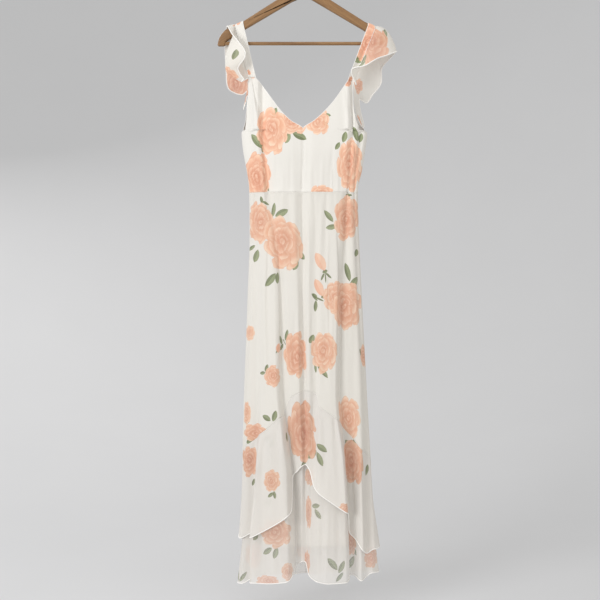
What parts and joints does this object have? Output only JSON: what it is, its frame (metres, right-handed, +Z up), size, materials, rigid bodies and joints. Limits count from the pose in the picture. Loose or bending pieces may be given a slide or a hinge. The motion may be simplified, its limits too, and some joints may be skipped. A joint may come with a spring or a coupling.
{
  "type": "maxi dress on hanger",
  "caption": "Sleeveless V-neck maxi dress with flutter sleeves, a fitted waist and an arched two-tier hem, hanging on a flat wooden hanger.",
  "frame": {"origin": "inside top of the hanger's hook, where it rests on its rod", "axes": "+Z up, +X to the viewer's right, the front of the dress faces -Y"},
  "size_m": [0.4603, 0.1577, 1.6239],
  "materials": {
    "chiffon": "ivory chiffon printed with peach roses and sage leaves, semi-sheer, matt",
    "lining": "plain off-white woven lining, matt",
    "wood": "mid-brown stained wood, satin",
    "hook_steel": "bright plated steel wire"
  },
  "bodies": {
    "root": {"bodice_front": "chiffon", "bodice_back": "chiffon", "strap_left": "chiffon", "strap_right": "chiffon", "flutter_left": "chiffon", "flutter_right": "chiffon", "skirt_front": "chiffon", "skirt_back": "chiffon", "upper_flounce_front": "chiffon", "upper_flounce_back": "chiffon", "lower_flounce_front": "chiffon", "lower_flounce_back": "chiffon", "lining_front": "lining", "lining_back": "lining", "hanger_arms": "wood", "hanger_bar": "wood", "hanger_hook": "hook_steel"}
  },
  "joints": []
}
